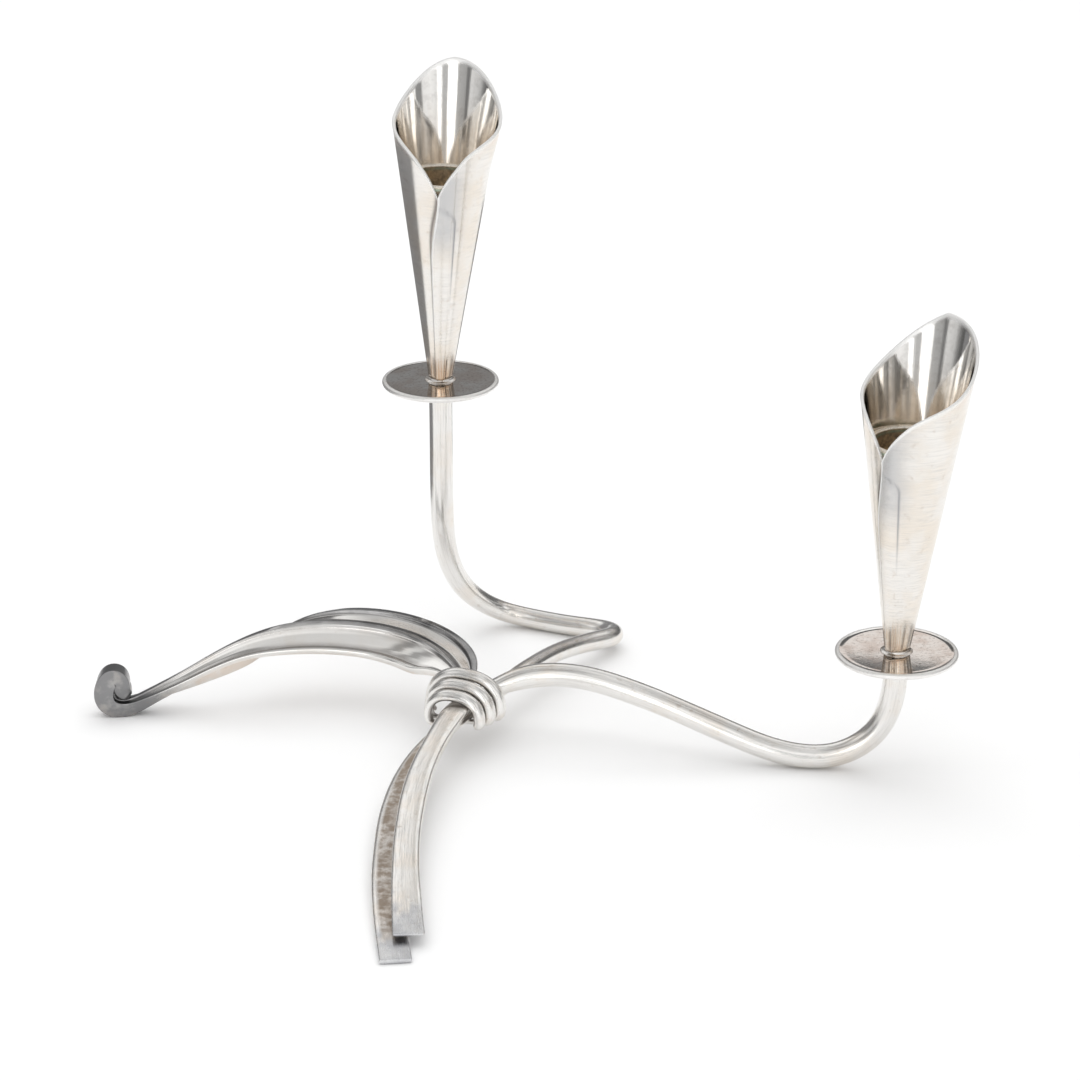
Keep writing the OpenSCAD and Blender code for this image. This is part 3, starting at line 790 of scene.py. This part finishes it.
def leaf_look(g, uv, place):
    streak = g.noise(g.stretch(uv, (2.0, 0.08, 1)), 1.0, 5, 0.6)
    patch = g.noise(place, 85, 5, 0.6)
    speck = g.noise(place, 600, 4, 0.6)
    groove, rim, top, tip = (g.attribute(k) for k in ("groove", "rim", "top", "tip"))
    under = g.math("SUBTRACT", 1.0, top)
    colour = g.mix(g.fade(patch, 0.5, 0.75, 0.0, 0.25), SILVER, rgb(0.76, 0.66, 0.54))
    dirt = g.times(groove, g.fade(patch, 0.3, 0.6, 0.4, 0.85))
    colour = g.mix(g.times(dirt, 0.6), colour, rgb(0.28, 0.25, 0.23))
    # painted dark reflections along the rolled rims and the rib
    rim_dark_reflection = g.times(rim, g.fade(patch, 0.3, 0.7, 0.7, 0.95))
    colour = g.mix(rim_dark_reflection, colour, rgb(0.15, 0.15, 0.155))
    warm = g.times(g.times(under, g.fade(patch, 0.4, 0.6)), 0.4)
    colour = g.mix(warm, colour, rgb(0.68, 0.5, 0.36))
    dark_tip = g.times(tip, g.fade(patch, 0.48, 0.6, 0.95, 0.7))
    colour = g.mix(dark_tip, colour, rgb(0.23, 0.23, 0.235))
    colour = g.mix(g.fade(speck, 0.62, 0.75, 0.0, 0.2), colour, BROWN)
    rough = g.plus(g.fade(streak, 0.25, 0.75, 0.06, 0.14), g.times(groove, 0.12))
    rough = g.plus(rough, g.times(tip, 0.22))
    relief = g.plus(g.times(streak, 0.5), g.times(patch, 0.4))
    return colour, rough, relief, 0.00003


def binding_look(g, uv, place):
    streak = g.noise(g.stretch(uv, (3, 0.3, 1)), 1.0, 5, 0.6)
    patch = g.noise(place, 220, 5, 0.6)
    groove = g.attribute("groove")
    dirt = g.times(g.fade(groove, 0.35, 0.85), g.fade(patch, 0.3, 0.6, 0.6, 1.0))
    colour = g.mix(g.fade(patch, 0.48, 0.66, 0.0, 0.35), SILVER, rgb(0.68, 0.6, 0.52))
    colour = g.mix(g.times(dirt, 0.85), colour, rgb(0.2, 0.17, 0.15))
    rough = g.plus(g.fade(streak, 0.25, 0.75, 0.16, 0.32), g.times(dirt, 0.2))
    relief = g.plus(g.times(streak, 0.5), g.times(patch, 0.5))
    return colour, rough, relief, 0.00006


def pan_look(g, uv, place):
    rim = g.attribute("rim")
    mottle = g.noise(place, 170, 6, 0.68)
    cloud = g.noise(place, 60, 4, 0.6)
    grain = g.noise(place, 1300, 3, 0.65)
    blend = g.plus(g.times(mottle, 0.6), g.times(cloud, 0.4))
    stain = g.times(g.fade(blend, 0.42, 0.6), g.math("SUBTRACT", 1.0, g.times(rim, 0.9)))
    colour = g.mix(g.times(stain, 0.45), SILVER, rgb(0.6, 0.46, 0.38))
    colour = g.mix(g.fade(grain, 0.5, 0.7, 0.0, 0.55), colour, rgb(0.36, 0.31, 0.28))
    # painted highlight: the rim is painted near white
    colour = g.mix(g.times(rim, 0.7), colour, rgb(0.95, 0.94, 0.92))
    rough = g.plus(g.fade(mottle, 0.3, 0.7, 0.015, 0.05), g.times(rim, 0.4))
    relief = g.plus(g.times(mottle, 0.5), g.times(grain, 0.25))
    return colour, rough, relief, 0.000006


def solder_look(g, uv, place):
    lump = g.noise(place, 700, 4, 0.6)
    stain = g.noise(place, 260, 4, 0.6)
    colour = g.mix(g.fade(stain, 0.4, 0.65, 0.1, 0.65), SILVER, rgb(0.5, 0.38, 0.27))
    rough = g.fade(lump, 0.3, 0.7, 0.22, 0.42)
    return colour, rough, lump, 0.00018


def cup_look(g, uv, place):
    inside, height, lip, seam, flap_highlight, crease = (
        g.attribute(k) for k in ("inside", "height", "lip", "seam", "flap_highlight", "crease")
    )
    outside = g.math("SUBTRACT", 1.0, inside)
    ring = g.noise(g.stretch(uv, (4.5, 0.12, 1)), 1.0, 6, 0.7)
    upright = g.noise(g.stretch(uv, (0.05, 1.1, 1)), 1.0, 4, 0.6)
    patch = g.noise(place, 75, 5, 0.6)
    speck = g.noise(place, 420, 5, 0.6)
    low_in = g.times(inside, g.fade(height, 0.93, 0.7))
    foot = g.times(outside, g.fade(g.plus(height, g.times(upright, 0.25)), 0.24, 0.12))
    cream = g.mix(g.fade(patch, 0.35, 0.65), rgb(0.9, 0.87, 0.83), rgb(0.86, 0.78, 0.68))
    colour = g.mix(g.times(outside, 0.8), SILVER, cream)
    brushed = g.times(g.fade(ring, 0.42, 0.72), g.times(outside, 0.5))
    colour = g.mix(brushed, colour, rgb(0.55, 0.54, 0.52))
    spots = g.times(g.fade(speck, 0.58, 0.72), g.times(outside, 0.25))
    colour = g.mix(spots, colour, BROWN)
    around = g.node("ShaderNodeSeparateXYZ", Vector=uv).outputs[1]
    smear = g.times(g.fade(around, 9, 2), g.fade(height, 0.4, 0.55))
    smear = g.times(g.times(smear, outside), g.fade(patch, 0.35, 0.6, 0.2, 0.7))
    colour = g.mix(smear, colour, rgb(0.5, 0.52, 0.55))
    dusty = g.times(inside, g.fade(speck, 0.45, 0.7, 0.0, 0.25))
    colour = g.mix(dusty, colour, rgb(0.45, 0.42, 0.4))
    colour = g.mix(g.times(foot, g.fade(patch, 0.35, 0.6, 0.1, 0.8)), colour, rgb(0.66, 0.45, 0.27))
    streaks = g.plus(g.times(upright, 0.5), g.times(patch, 0.5))
    stain = g.times(low_in, g.fade(streaks, 0.36, 0.6, 0.25, 1.0))
    colour = g.mix(g.times(stain, 0.5), colour, rgb(0.68, 0.55, 0.4))
    # painted shade along the crease
    colour = g.mix(g.times(crease, 0.85), colour, rgb(0.3, 0.3, 0.32))
    # painted shadow in the gap beside the outer flap's free edge
    colour = g.mix(g.times(seam, 0.85), colour, rgb(0.16, 0.14, 0.13))
    # painted highlights: the lip and the outer flap's free edge are painted near white
    bright = g.math("MAXIMUM", lip, flap_highlight)
    colour = g.mix(bright, colour, rgb(0.98, 0.975, 0.96))
    satin = g.fade(ring, 0.25, 0.75, 0.12, 0.22)
    polished = g.fade(speck, 0.3, 0.7, 0.03, 0.09)
    rough = g.plus(g.times(outside, satin), g.times(inside, polished))
    rough = g.plus(rough, g.times(stain, 0.08))
    rough = g.plus(rough, g.times(bright, 0.5))
    relief = g.times(g.times(ring, outside), 0.34)
    relief = g.plus(relief, g.times(patch, 0.25))
    relief = g.plus(relief, g.times(g.times(upright, inside), 0.3))
    return colour, rough, relief, 0.00006


def socket_look(g, uv, place):
    lip, verdigris = g.attribute("lip"), g.attribute("verdigris")
    crust = g.noise(place, 520, 6, 0.7)
    patch = g.noise(place, 150, 4, 0.6)
    colour = g.mix(g.fade(crust, 0.35, 0.65), rgb(0.78, 0.66, 0.5), rgb(0.36, 0.29, 0.21))
    green = g.times(verdigris, g.fade(patch, 0.35, 0.55, 0.3, 0.9))
    colour = g.mix(green, colour, rgb(0.5, 0.62, 0.52))
    # painted highlight along the lip
    colour = g.mix(g.times(lip, 0.8), colour, rgb(0.85, 0.82, 0.76))
    rough = g.math("SUBTRACT", g.fade(crust, 0.3, 0.7, 0.35, 0.6), g.times(lip, 0.2))
    return colour, rough, crust, 0.00015


def fixing_look(g, uv, place):
    turned = g.noise(g.stretch(place, (60, 60, 2600)), 1.0, 3, 0.6)
    colour = g.mix(g.fade(turned, 0.4, 0.6, 0.0, 0.4), rgb(0.6, 0.59, 0.57), rgb(0.4, 0.38, 0.36))
    return colour, g.fade(turned, 0.3, 0.7, 0.3, 0.45), turned, 0.00004


STEM = metal("stem_silver", stem_look)
LEAF = metal("leaf_silver", leaf_look)
BINDING = metal("binding_silver", binding_look)
PAN = metal("pan_silver", pan_look)
SOLDER = metal("collar_solder", solder_look)
CUP = metal("cup_silver", cup_look)
SOCKET = metal("socket_worn", socket_look)
FIXING = metal("fixing_turned", fixing_look)

# ---------------------------------------------------------------- pieces

right = stem("right_stem_silver", RIGHT_ROUTE, RIGHT_FORMS, RIGHT_FACES, 11, 0.0)
rear = stem("rear_stem_silver", REAR_ROUTE, REAR_FORMS, REAR_FACES, 12, 1.0)
finish_piece(right, STEM, "stem_metal", "right_stem")
finish_piece(rear, STEM, "stem_metal", "rear_stem")
finish_piece(leaf(), LEAF, "leaf_metal", "leaf")
finish_piece(binding(), BINDING, "binding_metal", "knot_binding")
for side in ("right", "rear"):
    finish_piece(drip_pan(side), PAN, "pan_metal", "drip_pan_" + side)
    finish_piece(collar(side), SOLDER, "collar_metal", "cup_collar_" + side)
    finish_piece(cup(side), CUP, "cup_metal", "cup_" + side)
    finish_piece(socket(side), SOCKET, "socket_metal", "candle_socket_" + side)
    for part in ("cup_plug_", "cup_pin_"):
        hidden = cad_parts[part + side]
        hidden.data.materials.clear()
        hidden.data.materials.append(FIXING)

# ---------------------------------------------------------------- floor, light and camera
# all in metres

FLOOR_REACH = 4.0
FLOOR_CELLS = 8
LAMP_PLACE = (0, 0.3, 1.6)
LAMP_SIZE = 2.4
LAMP_POWER = 15.5
RING_RADIUS = 0.8
RING_LOW, RING_TOP = 0.002, 0.47
RING_SIDES = 96
EYE_PLACE = (0.0054, -0.8945, 0.439)
EYE_TILT = math.radians(67.6)
EYE_LENS = 120


def floor():
    line = np.linspace(-FLOOR_REACH, FLOOR_REACH, FLOOR_CELLS + 1)
    points = [(x, y, 0) for y in line for x in line]
    row = FLOOR_CELLS + 1
    faces = [
        (j * row + i, j * row + i + 1, (j + 1) * row + i + 1, (j + 1) * row + i)
        for j in range(FLOOR_CELLS) for i in range(FLOOR_CELLS)
    ]
    mesh = bpy.data.meshes.new("floor")
    mesh.from_pydata(points, [], faces)
    plane = bpy.data.objects.new("floor", mesh)
    bpy.context.scene.collection.objects.link(plane)
    paper = bpy.data.materials.new("paper")
    paper.use_nodes = True
    g = Graph(paper.node_tree)
    place = g.node("ShaderNodeTexCoord").outputs["Object"]
    tone = g.fade(g.noise(place, 3, 2), 0.3, 0.7, 0.955, 0.97)
    colour = g.node("ShaderNodeCombineColor", Red=tone, Green=tone, Blue=tone).outputs[0]
    shader = g.node("ShaderNodeBsdfPrincipled", Roughness=0.9)
    shader.inputs["Specular IOR Level"].default_value = 0.0
    g.set(shader.inputs["Base Color"], colour)
    g.node("ShaderNodeOutputMaterial", Surface=shader.outputs[0])
    mesh.materials.append(paper)


def ramp(node, stops):
    band = node.color_ramp
    while len(band.elements) > 1:
        band.elements.remove(band.elements[-1])
    band.elements[0].position, tone = stops[0]
    band.elements[0].color = (tone, tone, tone, 1)
    for position, tone in stops[1:]:
        band.elements.new(position).color = (tone, tone, tone, 1)


def turn_of(g, direction):
    """Share of a full turn, from the front (0) past -X (0.25), the back (0.5) and +X (0.75)."""
    x, y, z = g.node("ShaderNodeSeparateXYZ", Vector=direction).outputs
    around = g.math("ARCTAN2", x, y)
    return g.math("DIVIDE", g.plus(around, math.pi), 2 * math.pi), z


def studio():
    """A pale surround, with darker gaps across it higher up."""
    world = bpy.data.worlds.new("studio")
    bpy.context.scene.world = world
    world.use_nodes = True
    g = Graph(world.node_tree)
    turn, z = turn_of(g, g.node("ShaderNodeTexCoord").outputs["Generated"])
    rise = g.node("ShaderNodeValToRGB", Fac=z)
    ramp(rise, [
        (0.0, 0.8), (0.5, 0.8), (0.53, 1.1), (0.72, 1.05), (0.84, 0.7), (0.93, 0.72), (1.0, 0.95),
    ])
    gaps = g.node("ShaderNodeValToRGB", Fac=turn)
    ramp(gaps, [
        (0.0, 1.0), (0.1, 1.0), (0.13, 0.25), (0.18, 0.25), (0.2, 1.0), (0.25, 1.0),
        (0.28, 0.3), (0.33, 0.4), (0.36, 1.0), (0.66, 1.0), (0.69, 0.3), (0.74, 0.3),
        (0.77, 1.0), (0.84, 1.0), (0.87, 0.2), (0.9, 0.25), (0.92, 1.0), (1.0, 1.0),
    ])
    tone = g.mix(g.fade(z, 0.3, 0.5, 0.0, 0.75), rise.outputs[0], gaps.outputs[0], "MULTIPLY")
    back = g.node("ShaderNodeBackground", Color=tone, Strength=1.0)
    g.node("ShaderNodeOutputWorld", Surface=back.outputs[0])


def reflected_only(name, points, faces, build):
    """A screen that only the metal sees, as a mirror sees the dark and bright cards of a studio."""
    mesh = bpy.data.meshes.new(name)
    mesh.from_pydata(points, [], faces)
    card = bpy.data.objects.new(name, mesh)
    bpy.context.scene.collection.objects.link(card)
    card.visible_camera = False
    card.visible_diffuse = False
    card.visible_shadow = False
    card.visible_transmission = False
    card.visible_volume_scatter = False
    look = bpy.data.materials.new(name)
    look.use_nodes = True
    g = Graph(look.node_tree)
    light = g.node("ShaderNodeEmission", Strength=1.0)
    g.set(light.inputs["Color"], build(g, g.node("ShaderNodeTexCoord").outputs["Object"]))
    g.node("ShaderNodeOutputMaterial", Surface=light.outputs[0])
    mesh.materials.append(look)


def ring_tone(g, place):
    """Bright and dark uprights in front, a dark wall behind with a pale band on its right half."""
    turn, z = turn_of(g, place)
    front = g.node("ShaderNodeValToRGB", Fac=turn)
    ramp(front, [
        (0.0, 0.55), (0.012, 0.55), (0.02, 1.9), (0.07, 1.9), (0.08, 0.5), (0.13, 0.4), (0.14, 0.2),
        (0.155, 0.2), (0.165, 0.75), (0.22, 0.6), (0.25, 0.4), (0.5, 0.3), (0.6, 0.14),
        (0.68, 0.16), (0.7, 0.9), (0.715, 0.2), (0.77, 0.22), (0.78, 1.2), (0.795, 0.3),
        (0.83, 0.3), (0.845, 0.9), (0.9, 1.0), (0.94, 0.85), (0.952, 1.6), (0.968, 1.6),
        (0.978, 0.55), (1.0, 0.55),
    ])
    back = g.node("ShaderNodeValToRGB", Fac=z)
    ramp(back, [(0.0, 0.12), (0.22, 0.15), (0.3, 0.24), (0.38, 0.24), (0.4, 0.12), (1.0, 0.12)])
    band = g.times(g.fade(z, 0.33, 0.34), g.fade(z, 0.3895, 0.3865))
    band = g.times(band, g.fade(turn, 0.508, 0.516))
    wall = g.mix(band, back.outputs[0], rgb(0.85, 0.8, 0.77))
    behind = g.times(g.fade(turn, 0.22, 0.28), g.fade(turn, 0.72, 0.66))
    return g.mix(behind, front.outputs[0], wall)


def ring():
    n = RING_SIDES
    angles = [2 * math.pi * i / n for i in range(n)]
    points = [
        (RING_RADIUS * math.cos(a), RING_RADIUS * math.sin(a), h)
        for h in (RING_LOW, RING_TOP) for a in angles
    ]
    faces = [(i, (i + 1) % n, n + (i + 1) % n, n + i) for i in range(n)]
    reflected_only("ring", points, faces, ring_tone)


def flag():
    """A low dark card close behind the object and to its left."""
    line = [(-0.175, 0.075), (-0.12, 0.15), (-0.06, 0.215), (0.0, 0.24), (0.07, 0.235)]
    top = [0.1, 0.12, 0.12, 0.09, 0.07]
    points = [(x, y, 0.001) for x, y in line] + [(x, y, h) for (x, y), h in zip(line, top)]
    n = len(line)
    faces = [(i, i + 1, n + i + 1, n + i) for i in range(n - 1)]
    reflected_only("flag", points, faces, lambda g, place: rgb(0.24, 0.24, 0.245))


def softbox():
    """One soft lamp overhead, which the metal does not mirror."""
    light = bpy.data.lights.new("overhead", "AREA")
    light.shape = "SQUARE"
    light.size = LAMP_SIZE
    light.energy = LAMP_POWER
    lamp = bpy.data.objects.new("overhead", light)
    bpy.context.scene.collection.objects.link(lamp)
    lamp.location = LAMP_PLACE
    lamp.rotation_euler = (-Vector(LAMP_PLACE)).to_track_quat("-Z", "Y").to_euler()
    lamp.visible_glossy = False
    lamp.visible_camera = False


def camera():
    data = bpy.data.cameras.new("camera")
    data.lens = EYE_LENS
    data.sensor_width = 36
    data.clip_end = 20
    eye = bpy.data.objects.new("camera", data)
    bpy.context.scene.collection.objects.link(eye)
    eye.location = EYE_PLACE
    eye.rotation_euler = (EYE_TILT, 0, 0)
    bpy.context.scene.camera = eye


floor()
studio()
ring()
flag()
softbox()
camera()
bpy.context.scene.view_settings.view_transform = "Standard"
